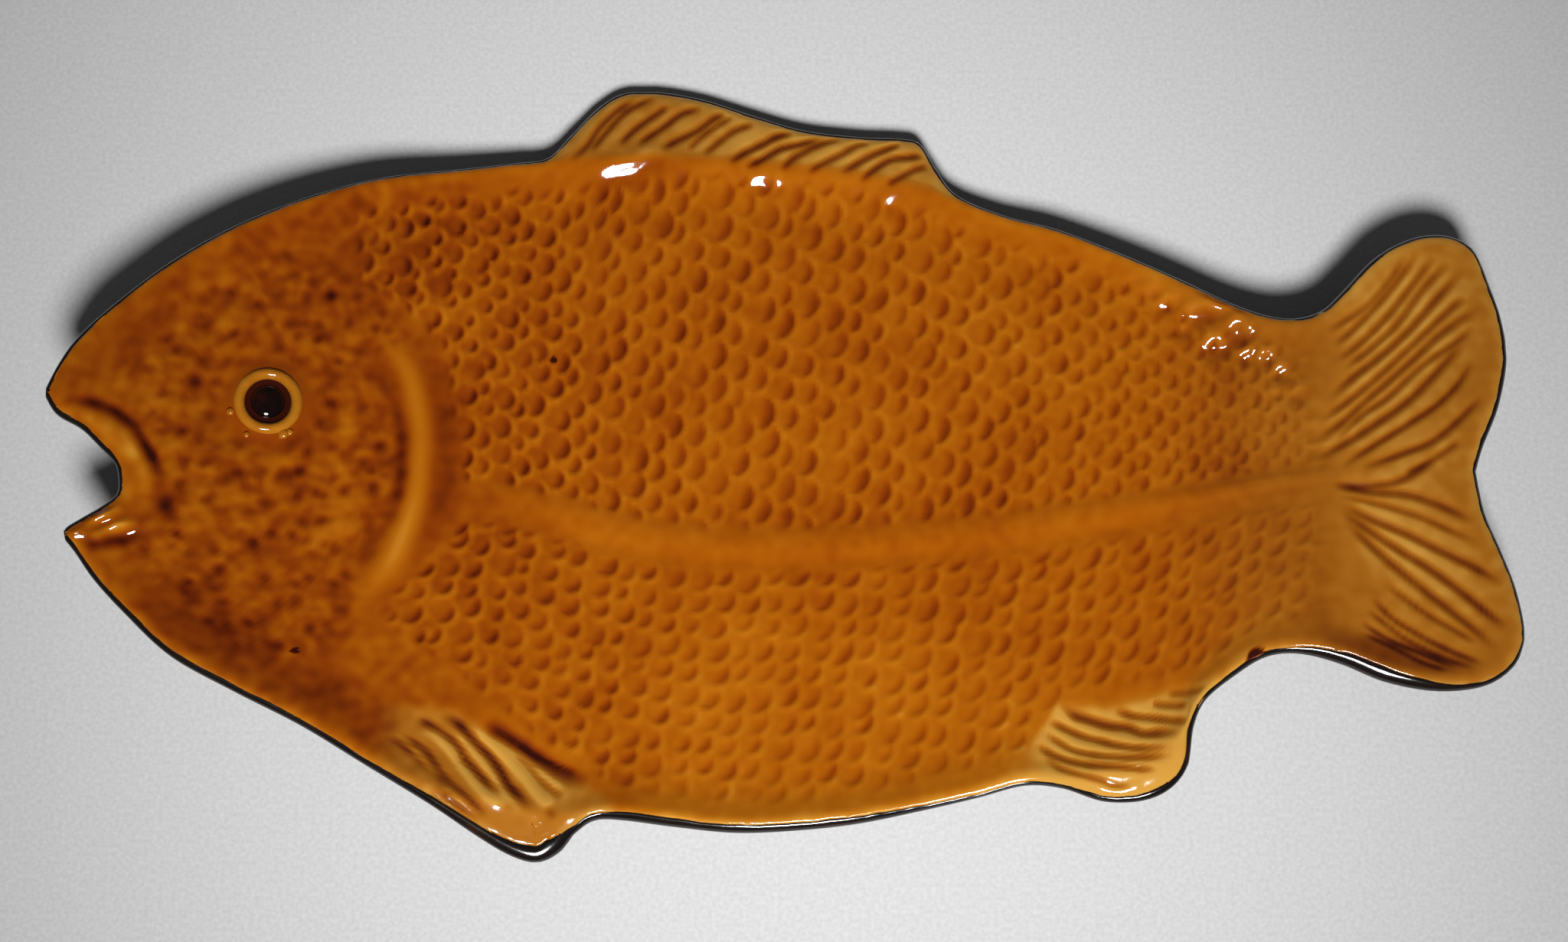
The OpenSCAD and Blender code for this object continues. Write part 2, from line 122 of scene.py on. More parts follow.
def curve_at(shares, column):
    """Places at fractional columns along a smooth curve through the points of a list."""
    table = np.array(shares, float)
    starts = np.concatenate([[0], np.cumsum(table[:-1, 2])])
    k = np.clip(np.searchsorted(starts, column, side="right") - 1, 0, len(table) - 2)
    t = ((column - starts[k]) / table[k, 2])[..., None]
    a, b = table[np.maximum(k - 1, 0), :2], table[k, :2]
    c, d = table[k + 1, :2], table[np.minimum(k + 2, len(table) - 1), :2]
    place = 2 * b + (c - a) * t + (2 * a - 5 * b + 4 * c - d) * t**2 + (3 * b - a - 3 * c + d) * t**3
    return np.clip(place / 2, -500, 500) / 1000 * [length, width]


def half_plan(edge_shares, lip_shares, tail_shares, column, share):
    """Places between an edge, at share 0, and the lateral line, at share 1, bowed round the gill
    and drawn to the mouth and to the end of the tail."""
    s = share[..., None]
    first, last = [mix(curve_at(edge_shares, end), curve_at(line_shares, end), s) for end in (0, last_column)]
    lip = curve_at(lip_shares, share * (len(lip_shares) - 1))
    tail = curve_at(tail_shares, share * (len(tail_shares) - 1))
    head_fade = np.clip(1 - column / end_columns, 0, None)[..., None] ** 2
    tail_fade = np.clip(1 - (last_column - column) / end_columns, 0, None)[..., None] ** 2
    place = mix(curve_at(edge_shares, column), curve_at(line_shares, column), s)
    place = place + head_fade * (lip - first) + tail_fade * (tail - last)
    bow = gill_bow * swell(column, gill_column, gill_bow_columns) * np.sin(math.pi * share)
    place[..., 0] += bow * (1 - head_fade[..., 0])
    return place


def belly_plan(column, share):
    return half_plan(belly_shares, lower_lip_shares, lower_tail_shares, column, share)


def back_plan(column, share):
    return half_plan(back_shares, upper_lip_shares, upper_tail_shares, column, share)


# The outline once round, closely spaced, with the way inwards at each point
outline_steps = 1400
along = np.linspace(0, last_column, outline_steps, endpoint=False)
across = np.linspace(0, 1, outline_steps // 5, endpoint=False)
outline = np.concatenate([
    belly_plan(along, 0 * along), belly_plan(last_column + 0 * across, across),
    back_plan(last_column + 0 * across, 1 - across), back_plan(last_column - along, 0 * along),
    back_plan(0 * across, across), belly_plan(0 * across, 1 - across)])
ahead = np.roll(outline, -4, axis=0) - np.roll(outline, 4, axis=0)
inwards = np.stack([-ahead[:, 1], ahead[:, 0]], axis=1) / np.linalg.norm(ahead, axis=1)[:, None]
outline_tree = kdtree.KDTree(len(outline))
for index, point in enumerate(outline):
    outline_tree.insert((point[0], point[1], 0), index)
outline_tree.balance()


def fin_reach(edge_shares, fins, column):
    """How far a fin stands out of the body at a column of an edge."""
    edge = curve_at(edge_shares, column)
    reach = np.zeros_like(column)
    for start, end, swell_share in fins:
        t = np.clip((column - start) / (end - start), 0, 1)
        line = mix(curve_at(edge_shares, start), curve_at(edge_shares, end), t[..., None])
        base = np.abs(line[..., 1]) + swell_share * width * 4 * t * (1 - t)
        inside = (column > start) & (column < end)
        reach += np.where(inside, np.maximum(0, np.abs(edge[..., 1]) - base), 0)
    return reach


class Plan:
    """The fish seen from above as a grid of columns and rows, with each vertex's place in it."""

    def __init__(self, columns, belly_rows, back_rows, edge_rows):
        edge_gaps = np.array(edge_rows)
        ends = edge_gaps / (10 * mm)
        middle = np.linspace(ends[-1], last_column - ends[-1], columns - 2 * len(ends) + 3)
        column = np.concatenate([ends[:-1], middle, (last_column - ends[:-1])[::-1]])[:, None]
        spans = [np.linalg.norm(curve_at(shares, column) - curve_at(line_shares, column), axis=-1)
                 for shares in (belly_shares, back_shares)]
        halves = []
        for span, rows in zip(spans, (belly_rows, back_rows)):
            steps = np.linspace(0, 1, rows - len(edge_gaps) + 2)
            inner = edge_gaps[-1] + steps * (span - edge_gaps[-1])
            lip = np.broadcast_to(edge_gaps[:-1], (len(column), len(edge_gaps) - 1))
            halves.append(np.concatenate([lip, inner], axis=1))
        whole = spans[0] + spans[1]
        self.from_belly = np.concatenate([halves[0], whole - halves[1][:, -2::-1]], axis=1)
        self.from_back = whole - self.from_belly
        column = np.broadcast_to(column, self.from_belly.shape)
        upper = np.arange(self.from_belly.shape[1]) > belly_rows
        share = np.where(upper, self.from_back / spans[1], self.from_belly / spans[0])
        place = np.where(upper[:, None], back_plan(column, share), belly_plan(column, share))
        self.x, self.y = place[..., 0], place[..., 1]
        self.line_y = curve_at(line_shares, column)[..., 1]
        self.inside_belly = self.from_belly - fin_reach(belly_shares, belly_fins, column)
        self.inside_back = self.from_back - fin_reach(back_shares, back_fins, column)
        found = [outline_tree.find((x, y, 0))[1:] for x, y in zip(self.x.ravel(), self.y.ravel())]
        self.nearest = np.array([index for index, _ in found]).reshape(self.x.shape)
        self.edge = np.array([distance for _, distance in found]).reshape(self.x.shape)

    def at_inset(self, inset, moved):
        """Places of which the moved ones lie an inset away from the nearest point of the outline, on
        their own side of it."""
        base = outline[self.nearest]
        way = np.stack([self.x, self.y], axis=-1) - base + inwards[self.nearest] * (0.5 * mm)
        place = base + way / np.linalg.norm(way, axis=-1, keepdims=True) * inset[..., None]
        return np.where(moved, place[..., 0], self.x), np.where(moved, place[..., 1], self.y)

    def drawn_in(self, first, reach):
        """Places with the border drawn in to a first inset and the rows out to a reach closed up,
        and the inset of each vertex."""
        near_edge = self.edge < reach
        inset = np.where(near_edge, mix(first, reach, self.edge / reach), self.edge)
        return *self.at_inset(inset, near_edge), inset


# The middle lies level and both ends sweep up, the head far more than the tail. The well is a shallow
# dish in that swept sheet, and outside its rim the fins fall away towards their edges.
head_lift = 37 * mm
tail_lift = 14 * mm
head_sweep = -0.146 * length
tail_sweep = 0.062 * length
tail_sweep_length = 0.302 * length
fin_slope = 0.17
rim_round_share = 0.14
tail_base = 0.385 * length
tail_rise = 0.125 * length
mouth_slope = 0.13 * length
tail_end_slope = 0.08 * length
tail_well_depth = 0.5 * well_depth
eye_centre = (-0.357 * length, 0.056 * width)
eye_flat = 13 * mm
eye_fade = 12 * mm
eye_reach = 18 * mm
head_bend = 1.35


def lift(x):
    to_head = np.maximum(0, (head_sweep - x) / (head_sweep + length / 2))
    return head_lift * to_head**head_bend + tail_lift * smooth((x - tail_sweep) / tail_sweep_length)


def rim_height(x):
    return floor_height + well_depth + lift(x)


eye_height = floor_height + lift(eye_centre[0])
eye_slope = (lift(eye_centre[0] + eye_reach) - lift(eye_centre[0] - eye_reach)) / (2 * eye_reach)


def slope_fall(distance, span):
    t = np.maximum(distance / span, 0)
    t = np.where(t < rim_round_share, t**2 / (2 * rim_round_share), t - rim_round_share / 2)
    return np.sin(math.pi / 2 * np.clip(t / (1 - rim_round_share / 2), 0, 1))


def from_eye(plan):
    return np.hypot(plan.x - eye_centre[0], plan.y - eye_centre[1])


def fin_fall(plan):
    """How far the fins fall away outside the rim."""
    return fin_slope * (np.maximum(-plan.inside_back, 0) + np.maximum(-plan.inside_belly, 0))


def dish_height(plan):
    """Height of the plain dish, without its relief and without its rounded edge."""
    walls = slope_fall(plan.inside_belly, slope_width) * slope_fall(plan.inside_back, slope_width)
    walls = walls * slope_fall(plan.x - plan.x[:1], mouth_slope)
    walls = walls * smooth((plan.x[-1:] - plan.x) / tail_end_slope)
    depth = mix(tail_well_depth, well_depth, smooth((tail_base - plan.x) / tail_rise))
    dish = rim_height(plan.x) - fin_fall(plan) - depth * walls
    round_eye = eye_height + eye_slope * (plan.x - eye_centre[0])
    return mix(dish, round_eye, smooth(1 - (from_eye(plan) - eye_flat) / eye_fade))


# The moulded relief
scale_stations = np.array([-0.34, -0.19, -0.12, -0.04, 0.03, 0.11, 0.19, 0.27, 0.36]) * length
# Scales to the metre at each station: along the two slanting rows that cross there, and across
back_rows = np.array([
    [100, 96, 84, 86, 86, 82, 78, 108, 125],
    [-82, -78, -66, -46, -40, -62, -86, -104, -120],
    [104, 100, 92, 88, 88, 90, 98, 116, 135]])
belly_rows = np.array([
    [128, 126, 122, 122, 118, 112, 118, 128, 140],
    [16, 14, 6, 10, -10, -26, -40, -60, -70],
    [140, 138, 132, 124, 122, 120, 124, 136, 150]])
scale_depth = 0.74 * mm
scale_wall = 1.5 * mm
scale_ridge_share = 0.32
belly_scale_share = 0.85
back_lean, belly_lean = 1.0, 0.12
back_facing = (0.95, -0.31)
belly_facing = (0.78, -0.63)
line_height = 0.7 * mm
line_hollow = 0.28 * mm
head_centre = (-178 * mm, -4 * mm)
pit_gap = 6.6 * mm
pit_depth = 0.55 * mm
grain_height = 0.38 * mm


def scatter(a, b, seed):
    """A steady number between 0 and 1 for a pair of whole numbers."""
    n = np.sin(a * 127.1 + b * 311.7 + seed * 74.7) * 43758.5453
    return n - np.floor(n)


def flank_scales(x, away, rows, cross_lean, facing, fullness, unevenness):
    """Depth of the scales at places x along the fish and away from the lateral line. The centres
    lie where two families of rows cross. A scale is a round dish that sinks towards its free edge,
    ends there in a short steep wall and leaves a soft thin ridge outside it."""
    fine = np.linspace(scale_stations[0], scale_stations[-1], 400)
    p_slope, q_slope, k = [np.interp(x, scale_stations, row) for row in rows]
    p, q = [np.interp(x, fine, np.cumsum(np.interp(fine, scale_stations, row)) * (fine[1] - fine[0]))
            for row in rows[:2]]
    p = p - cross_lean * k * away
    q = q - k * away
    p_across = -cross_lean * k
    q_across = -k
    cell = p_slope * q_across - q_slope * p_across
    radius = fullness / np.sqrt(np.abs(cell))
    depth = np.zeros(x.shape)
    ridge = np.zeros(x.shape)
    for m in range(-1, 3):
        for n in range(-1, 3):
            a, b = np.floor(p) + m, np.floor(q) + n
            dp = a + unevenness * (scatter(a, b, 1) - 0.5) - p
            dq = b + unevenness * (scatter(a, b, 2) - 0.5) - q
            dx = (dp * q_across - dq * p_across) / cell
            dy = (p_slope * dq - q_slope * dp) / cell
            size = radius * (0.80 + 0.40 * scatter(a, b, 3))
            inside = size - np.hypot(dx, dy)
            out = -(dx * facing[0] + dy * facing[1]) / size
            wall = smooth((inside + 0.2 * mm) / scale_wall)
            low = wall * (0.20 + 0.80 * smooth((out - 0.05) / 0.85)) * (0.65 + 0.55 * scatter(a, b, 4))
            depth = np.maximum(depth, low)
            ridge = np.maximum(ridge, swell(inside, -0.9 * mm, 0.9 * mm) * smooth(out))
    return depth - scale_ridge_share * ridge * (1 - np.minimum(depth, 1))


def border_at(values, points):
    """What a line through points in millimetres has for its second number at values of the first."""
    table = np.array(points) * mm
    return np.interp(values, table[:, 0], table[:, 1])


def scales(plan):
    away = plan.y - plan.line_y
    near_gill = fall(plan.x, -60, 50)
    look = (mix(0.64, 0.52, near_gill), mix(0.34, 0.52, near_gill))
    back = flank_scales(plan.x, away, back_rows, back_lean, back_facing, *look)
    belly = flank_scales(plan.x, away, belly_rows, belly_lean, belly_facing, *look)
    depth = np.where(away > 0, back, belly_scale_share * belly)
    # Where the scales begin behind the gill, from the belly to the back
    border = [(-53, -134), (-44, -125), (-36, -117), (-27, -113), (-16, -110), (0, -109), (12, -110),
              (24, -112), (37, -115), (49, -126), (62, -146)]
    fade = rise(plan.x - border_at(plan.y, border) - fall(plan.y, -50, 40) * 22 * mm, -3, 7)
    by_fin = 4 * mm * rise(plan.x, -62, 20) * fall(plan.x, 60, 20)
    fade = fade * rise(plan.inside_back - margin_width + by_fin, -6, 6)
    fade = fade * rise(plan.inside_belly - margin_width, -6, 7)
    fade = fade * (rise(away, 3.5, 4) + fall(away, -7.5, 4))
    # Where they end above the breast fin and above the belly fin
    lower_end = [(-130, -60), (-110, -72), (-88, -91), (-70, -102), (-52, -114), (-51, -200), (76, -200),
                 (78, -97), (90, -82), (118, -78), (140, -73), (141, -200)]
    fade = fade * rise(plan.y - border_at(plan.x, lower_end), 0, 4)
    tail_start = 184 * mm - 0.0035 * (plan.y / mm + 8) ** 2 * mm
    fade = fade * fall(plan.x - tail_start, 0, 14)
    strength = mix(1.1, 0.85, smooth((plan.x / length + 0.26) / 0.3)) * mix(1, 0.75, rise(plan.x, 90, 80))
    return -scale_depth * depth * fade * strength


def groove(plan, points, depth, spread, fade_in=0.15, fade_out=0.3):
    """A groove, or a ridge where depth is negative, along a smooth curve through points in
    millimetres. It rises out of the surface at both ends."""
    table = np.array([[x, y, 1] for x, y in points], float)
    steps = np.linspace(0, len(table) - 1, 14 * (len(table) - 1) + 1)
    path = curve_at(table / [length, width, 1], steps)
    reach = 3.2 * spread
    low, high = path.min(0) - reach, path.max(0) + reach
    near = (plan.x > low[0]) & (plan.x < high[0]) & (plan.y > low[1]) & (plan.y < high[1])
    px, py = plan.x[near][:, None], plan.y[near][:, None]
    start, way = path[:-1], np.diff(path, axis=0)
    t = ((px - start[:, 0]) * way[:, 0] + (py - start[:, 1]) * way[:, 1]) / (way**2).sum(1)
    t = np.clip(t, 0, 1)
    gap = np.hypot(start[:, 0] + way[:, 0] * t - px, start[:, 1] + way[:, 1] * t - py)
    nearest = gap.argmin(1)
    rows = np.arange(len(nearest))
    share = (nearest + t[rows, nearest]) / len(way)
    taper = smooth(share / fade_in) * smooth((1 - share) / fade_out)
    height = np.zeros(plan.x.shape)
    height[near] = -depth * swell(gap[rows, nearest], 0, spread) * taper
    return height


def lateral_line(plan):
    """A broad soft ridge that rises out of the flank behind the gill and sinks into the tail's
    root, with a shallow smooth hollow along its lower side."""
    away = plan.y - plan.line_y
    half = mix(4.4 * mm, 2.4 * mm, rise(plan.x, 60, 120))
    ridge = line_height * np.exp(-((np.abs(away - 0.5 * mm) / half) ** 2.6))
    hollow = line_hollow * swell(away, -7.0 * mm, 2.6 * mm)
    return (ridge - hollow) * rise(plan.x, -116, 46) * fall(plan.x, 196, 44)


gill_roll = [(-146, 50), (-140, 45), (-132, 37), (-127, 29), (-124, 19), (-122, 8), (-122, -4), (-123, -16),
             (-126, -27), (-130, -37), (-136, -45), (-142, -52), (-149, -59)]


def gill_cover(plan):
    """A smooth roll along the cover's edge, with a narrow soft fold before it and a wide soft
    hollow behind it."""
    fold = [(-143, 31), (-136, 24), (-130, 14), (-128, 2), (-128, -10), (-130, -20), (-135, -29), (-140, -38),
            (-144, -45)]
    hollow = [(-128, 44), (-120, 37), (-115, 27), (-112, 15), (-111, 3), (-112, -9), (-115, -20), (-119, -31),
              (-124, -40)]
    height = groove(plan, gill_roll, -1.0 * mm, 4.3 * mm, 0.3, 0.3)
    height += groove(plan, fold, 0.4 * mm, 2.2 * mm, 0.35, 0.35)
    return height + groove(plan, hollow, 0.36 * mm, 5 * mm, 0.3, 0.35)


def uneven_ground(plan, inside, size, second_size, second_share, shift):
    """Two sizes of smooth noise, in millimetres, added up at the places that lie inside."""
    values = np.zeros(plan.x.shape)
    for place in zip(*np.nonzero(inside)):
        at = Vector((plan.x[place], plan.y[place], 0)) / mm
        values[place] = noise.noise(at / size) + second_share * noise.noise(at / second_size + Vector(shift))
    return values


def cheek(plan):
    """Soft round dimples scattered over the head, from the lips to the gill cover, in a faintly
    uneven ground."""
    from_head = np.hypot(plan.x - head_centre[0], plan.y - head_centre[1])
    p = plan.x / pit_gap + 0.5 * plan.y / pit_gap
    q = plan.y / pit_gap * 0.9
    pits = np.zeros(plan.x.shape)
    for m in range(-1, 3):
        for n in range(-1, 3):
            a, b = np.floor(p) + m, np.floor(q) + n
            dq = (b + 0.8 * (scatter(a, b, 5) - 0.5) - q) / 0.9
            dp = a + 0.8 * (scatter(a, b, 6) - 0.5) - p - 0.5 * dq
            size = 0.24 + 0.16 * scatter(a, b, 7)
            pits = np.maximum(pits, (0.35 + 0.75 * scatter(a, b, 8)) * np.exp(-((dp**2 + dq**2) / size**2)))
    grain = uneven_ground(plan, (from_head < 84 * mm) & (plan.x < -95 * mm), 7.5, 3.1, 0.6, (9, 4, 2))
    crown = rise(plan.y, 26, 14) * fall(from_head, 80, 12) * fall(plan.x, -122, 14)
    throat = fall(plan.y, -30, 14) * fall(from_head, 74, 12) * fall(plan.x, -132, 12)
    fade = np.maximum(fall(from_head, 56, 12), np.maximum(crown, throat))
    fade = fade * rise(plan.edge, 9, 10) * rise(from_eye(plan), 13, 6)
    return (grain_height * np.clip(grain, -0.9, 0.7) - pit_depth * pits) * fade


def grooves(plan, lines, softness=1.0):
    """Several grooves, each given as its points, its depth and its spread in millimetres."""
    height = np.zeros(plan.x.shape)
    for points, depth, spread in lines:
        spread = spread * softness**0.6
        run = sum(math.dist(a, b) for a, b in zip(points[:-1], points[1:]))
        fade = min(0.5, max(0.2, 2.6 * spread / run))
        height += groove(plan, points, depth * mm / softness, spread * mm, fade, fade)
    return height


def across_patch(plan, x, y, wide, high, slant=0):
    """Places as shares of a patch's half sizes from its middle, the patch given in millimetres."""
    along = plan.x - x * mm
    return along / (wide * mm), (plan.y - y * mm - slant * along) / (high * mm)


def lit_ledges(plan):
    """Short steps in the face that fall to the belly side, where the glaze catches the light. Each is
    its place, its half sizes along and across the fish, and its height, in millimetres."""
    height = np.zeros(plan.x.shape)
    for x, y, wide, high, step in [
            (-57, 103, 8, 4.5, 1.9), (-47, 107, 5, 3.5, 1.4), (-10, 99, 4, 3, 1.3), (-4, 98, 3, 3, 1.3),
            (36, 92, 3, 3, 1.2), (129, 52, 4, 3, 1.8), (137, 48, 6, 3.5, 2.5), (144, 37, 5, 4, 3.0),
            (150, 42, 3, 4, 2.3), (154, 33, 3, 3, 2.0), (160, 32, 3, 3, 2.0), (164, 27, 3, 3, 2.0),
            (170, 19, 3, 3, 1.6), (133, 43, 3, 2.5, 1.6), (145, 48, 4, 2.4, 1.6), (154, 40, 2.2, 3, 1.7),
            (163, 19, 2, 2, 1.1), (-219, -29, 3.4, 2.2, 2.0), (-214, -32, 4.2, 2.2, 1.9),
            (-226, -35, 2.4, 2.0, 1.3), (116, 60, 2, 2, 1.0), (114, -104, 7, 4, -1.0),
            (109, -111, 5, 2.4, -0.5), (123, 56, 3, 2.5, 1.3), (-111, 79, 1.6, 1.6, 0.9),
            (-104, 82, 1.6, 1.6, 0.9), (-68, 79, 1.5, 1.6, 0.8), (27, 80, 1.5, 1.6, 0.8)]:
        u, v = across_patch(plan, x, y, wide, high, 0.16)
        height += step * mm * v * np.exp(-(v**2) - u**4)
    return height


def lips(plan):
    """The roll of the upper lip over a soft dark fold, and the two thin folds of the lower lip
    above a shallow crease."""
    return grooves(plan, [
        ([(-234, 10), (-226, 10), (-219, 8), (-213, 4), (-209, -1), (-205, -8), (-202, -15)], 1.0, 2.1),
        ([(-210, -1), (-206, -7), (-203, -14)], 0.4, 1.8),
        ([(-230, 6), (-222, 3), (-214, -2), (-209, -8), (-207, -15), (-207, -21)], -0.6, 3.4),
        ([(-203, -13), (-201, -19), (-200, -25), (-200, -30)], 0.9, 4.2),
        ([(-226, -38), (-219, -37), (-212, -35), (-203, -33)], 0.7, 2.4),
        ([(-225, -32), (-219, -28), (-213, -24)], -0.5, 1.6),
        ([(-223, -36), (-216, -32), (-208, -28)], -0.5, 1.7)])


def back_fin(plan):
    """Slanting grooves between broad soft rays, each a short arc from the base almost to the edge."""
    return grooves(plan, [
        ([(-75, 106), (-69, 112), (-65, 119), (-59, 126), (-52, 131)], 1.0, 1.2),
        ([(-68, 109), (-62, 118), (-55, 126), (-45, 132)], 1.0, 1.0),
        ([(-58, 112), (-53, 118), (-46, 124), (-41, 128)], 1.1, 1.1),
        ([(-52, 112), (-47, 116), (-42, 120), (-36, 125), (-29, 127)], 1.2, 1.1),
        ([(-44, 110), (-38, 114), (-31, 118), (-25, 123), (-21, 125)], 1.2, 1.2),
        ([(-34, 110), (-30, 115), (-24, 120), (-18, 124)], 0.9, 0.9),
        ([(-29, 108), (-24, 113), (-18, 118), (-11, 121)], 1.1, 1.1),
        ([(-20, 105), (-15, 109), (-8, 113), (-3, 116), (3, 118)], 1.4, 1.2),
        ([(-15, 103), (-8, 107), (-2, 111), (5, 113), (13, 116)], 1.4, 1.1),
        ([(-2, 102), (2, 107), (8, 111), (14, 114), (20, 116)], 1.2, 1.2),
        ([(7, 101), (12, 105), (19, 109), (25, 113), (30, 114)], 1.1, 1.1),
        ([(18, 101), (25, 106), (30, 109), (36, 112), (40, 114)], 1.3, 1.2),
        ([(25, 98), (30, 103), (36, 107), (42, 108), (49, 109)], 1.3, 1.1),
        ([(34, 97), (39, 100), (44, 103), (50, 105)], 1.1, 1.1)], 1.2)


def belly_fin(plan):
    """Long curved grooves that leave the fin's base and run level towards its tip, with three
    shorter ones above them."""
    return grooves(plan, [
        ([(89, -83), (93, -87), (98, -89), (104, -91), (110, -92), (115, -94), (121, -94),
          (128, -94)], 1.5, 1.4),
        ([(85, -89), (89, -91), (95, -94), (101, -96), (108, -98), (115, -99), (125, -99)], 1.3, 1.1),
        ([(83, -92), (88, -96), (93, -99), (101, -101), (109, -102), (117, -102), (125, -102)], 1.1, 1.0),
        ([(81, -96), (84, -99), (90, -102), (97, -104), (106, -105), (114, -106), (120, -106)], 1.2, 1.0),
        ([(83, -101), (88, -105), (93, -107), (100, -109), (105, -111), (112, -112)], 0.9, 1.0),
        ([(106, -86), (112, -88), (118, -89), (124, -90), (131, -91)], 1.2, 1.1),
        ([(118, -84), (123, -85), (130, -85)], 1.0, 1.0),
        ([(123, -81), (130, -81), (136, -80)], 0.8, 1.1)], 1.25)


def breast_fin(plan):
    """Deep wavering folds that run down to the fin's tip, and the wide crease under which the fin
    leaves the body."""
    return grooves(plan, [
        ([(-130, -95), (-125, -97), (-120, -101), (-116, -105), (-112, -109), (-109, -114),
          (-104, -118), (-98, -122)], 0.9, 0.9),
        ([(-125, -94), (-121, -96), (-116, -100), (-113, -104), (-109, -109), (-103, -114),
          (-99, -118), (-96, -121)], 0.9, 1.0),
        ([(-127, -94), (-122, -98), (-118, -102), (-114, -107), (-110, -112), (-105, -116),
          (-98, -120)], -0.6, 0.8),
        ([(-121, -88), (-117, -90), (-112, -93), (-107, -97), (-104, -102), (-100, -106),
          (-96, -110), (-91, -113)], 1.4, 1.2),
        ([(-113, -87), (-108, -89), (-104, -93), (-100, -97), (-96, -101), (-93, -105), (-90, -110),
          (-86, -114), (-82, -118)], 1.6, 1.4),
        ([(-90, -99), (-85, -103), (-81, -107), (-76, -111), (-72, -114)], 0.8, 1.2),
        ([(-100, -89), (-92, -94), (-85, -98), (-79, -102), (-72, -106), (-64, -109)], 1.6, 2.4),
        ([(-88, -96), (-82, -100), (-75, -103), (-68, -106)], 0.5, 0.8),
        ([(-78, -117), (-74, -121)], 0.7, 1.0),
        ([(-118, -90), (-110, -97), (-104, -105), (-97, -113), (-90, -118)], -0.8, 1.7),
        ([(-109, -91), (-103, -97), (-97, -104), (-91, -112), (-85, -118)], -0.7, 1.6),
        ([(-104, -90), (-94, -98), (-86, -105), (-80, -113), (-75, -117)], -0.8, 1.8),
        ([(-96, -93), (-88, -99), (-79, -106), (-72, -112)], -0.6, 1.4)], 1.3)


def tail_fin(plan):
    """Two fans of grooves that leave the tail's root, spread, and end short of its smooth border."""
    return grooves(plan, [
        ([(180, 40), (188, 45), (195, 50), (203, 59), (208, 67)], 0.8, 1.0),
        ([(182, 35), (189, 41), (196, 48), (205, 58), (212, 68)], 0.9, 1.0),
        ([(183, 30), (192, 37), (201, 46), (211, 58), (218, 67)], 1.0, 1.1),
        ([(185, 27), (194, 34), (204, 43), (214, 56), (223, 65)], 1.0, 1.1),
        ([(179, 16), (189, 25), (198, 32), (208, 41), (218, 52), (228, 63)], 1.2, 1.2),
        ([(176, 9), (186, 16), (197, 25), (208, 35), (222, 48), (227, 52)], 1.1, 1.1),
        ([(174, 2), (184, 9), (194, 18), (208, 30), (219, 40), (234, 50)], 1.2, 1.2),
        ([(181, 2), (190, 11), (200, 18), (211, 28), (224, 37), (229, 42)], 1.0, 1.0),
        ([(174, -4), (185, 2), (196, 9), (207, 17), (218, 28), (226, 37)], 1.2, 1.2),
        ([(182, -7), (194, 1), (207, 9), (216, 15), (223, 22), (228, 30)], 1.1, 1.0),
        ([(189, -7), (203, -2), (213, 2), (222, 9), (231, 18)], 1.1, 1.1),
        ([(203, -9), (213, -4), (222, 2)], 0.8, 0.9),
        ([(179, -12), (188, -13), (199, -12), (206, -9), (214, -4)], 1.0, 1.1),
        ([(179, -13), (192, -15), (203, -16), (214, -20), (225, -26)], 1.1, 1.2),
        ([(180, -16), (190, -18), (200, -21), (208, -24), (216, -28), (226, -33)], 0.8, 0.9),
        ([(180, -18), (191, -24), (202, -29), (213, -35), (224, -41), (233, -47)], 1.2, 1.2),
        ([(180, -20), (188, -26), (199, -34), (208, -40), (218, -48), (228, -57), (233, -61)], 1.3, 1.2),
        ([(182, -24), (189, -31), (197, -39), (206, -47), (214, -54), (222, -61), (230, -69)], 1.2, 1.2),
        ([(194, -45), (201, -51), (209, -57), (217, -62), (223, -66)], 0.9, 0.9),
        ([(190, -50), (196, -57), (205, -63), (216, -69), (225, -73)], 1.0, 0.9),
        ([(188, -54), (195, -60), (203, -66), (213, -71), (222, -74)], 0.9, 0.8),
        ([(186, -58), (194, -64), (205, -69), (216, -74)], 0.9, 0.8),
        ([(186, -62), (196, -67), (205, -72), (214, -75)], 0.8, 0.8)], 1.35)


def relief(plan):
    height = scales(plan) + lateral_line(plan) + gill_cover(plan) + cheek(plan) + lips(plan)
    height += back_fin(plan) + belly_fin(plan) + breast_fin(plan) + tail_fin(plan) + lit_ledges(plan)
    return height * rise(plan.edge, 1.4, 2.6)


# The rounded edge is a quarter ellipse down from the rim
edge_round = 5.5 * mm
edge_fall = 3.4 * mm


def edge_drop(inset):
    t = np.clip((edge_round - inset) / edge_round, 0, 1)
    return edge_fall * (1 - np.sqrt(1 - t * t))


def skin(name, x, y, z):
    """A grid primitive whose vertices are drawn out to the given places."""
    columns, rows = x.shape[0] - 1, x.shape[1] - 1
    bpy.ops.object.select_all(action="DESELECT")
    bpy.ops.mesh.primitive_grid_add(x_subdivisions=columns, y_subdivisions=rows, size=1)
    piece = bpy.context.object
    piece.name = piece.data.name = name
    flat = np.empty(len(piece.data.vertices) * 3)
    piece.data.vertices.foreach_get("co", flat)
    flat = flat.reshape(-1, 3)
    i = np.rint((flat[:, 0] + 0.5) * columns).astype(int)
    j = np.rint((flat[:, 1] + 0.5) * rows).astype(int)
    piece.data.vertices.foreach_set("co", np.stack([x[i, j], y[i, j], z[i, j]], axis=1).ravel())
    piece.data.update()
    return piece, i, j


def fuse_pieces(pieces):
    """Joins pieces into the first of them."""
    bpy.ops.object.select_all(action="DESELECT")
    for piece in pieces:
        piece.select_set(True)
    bpy.context.view_layer.objects.active = pieces[0]
    bpy.ops.object.join()


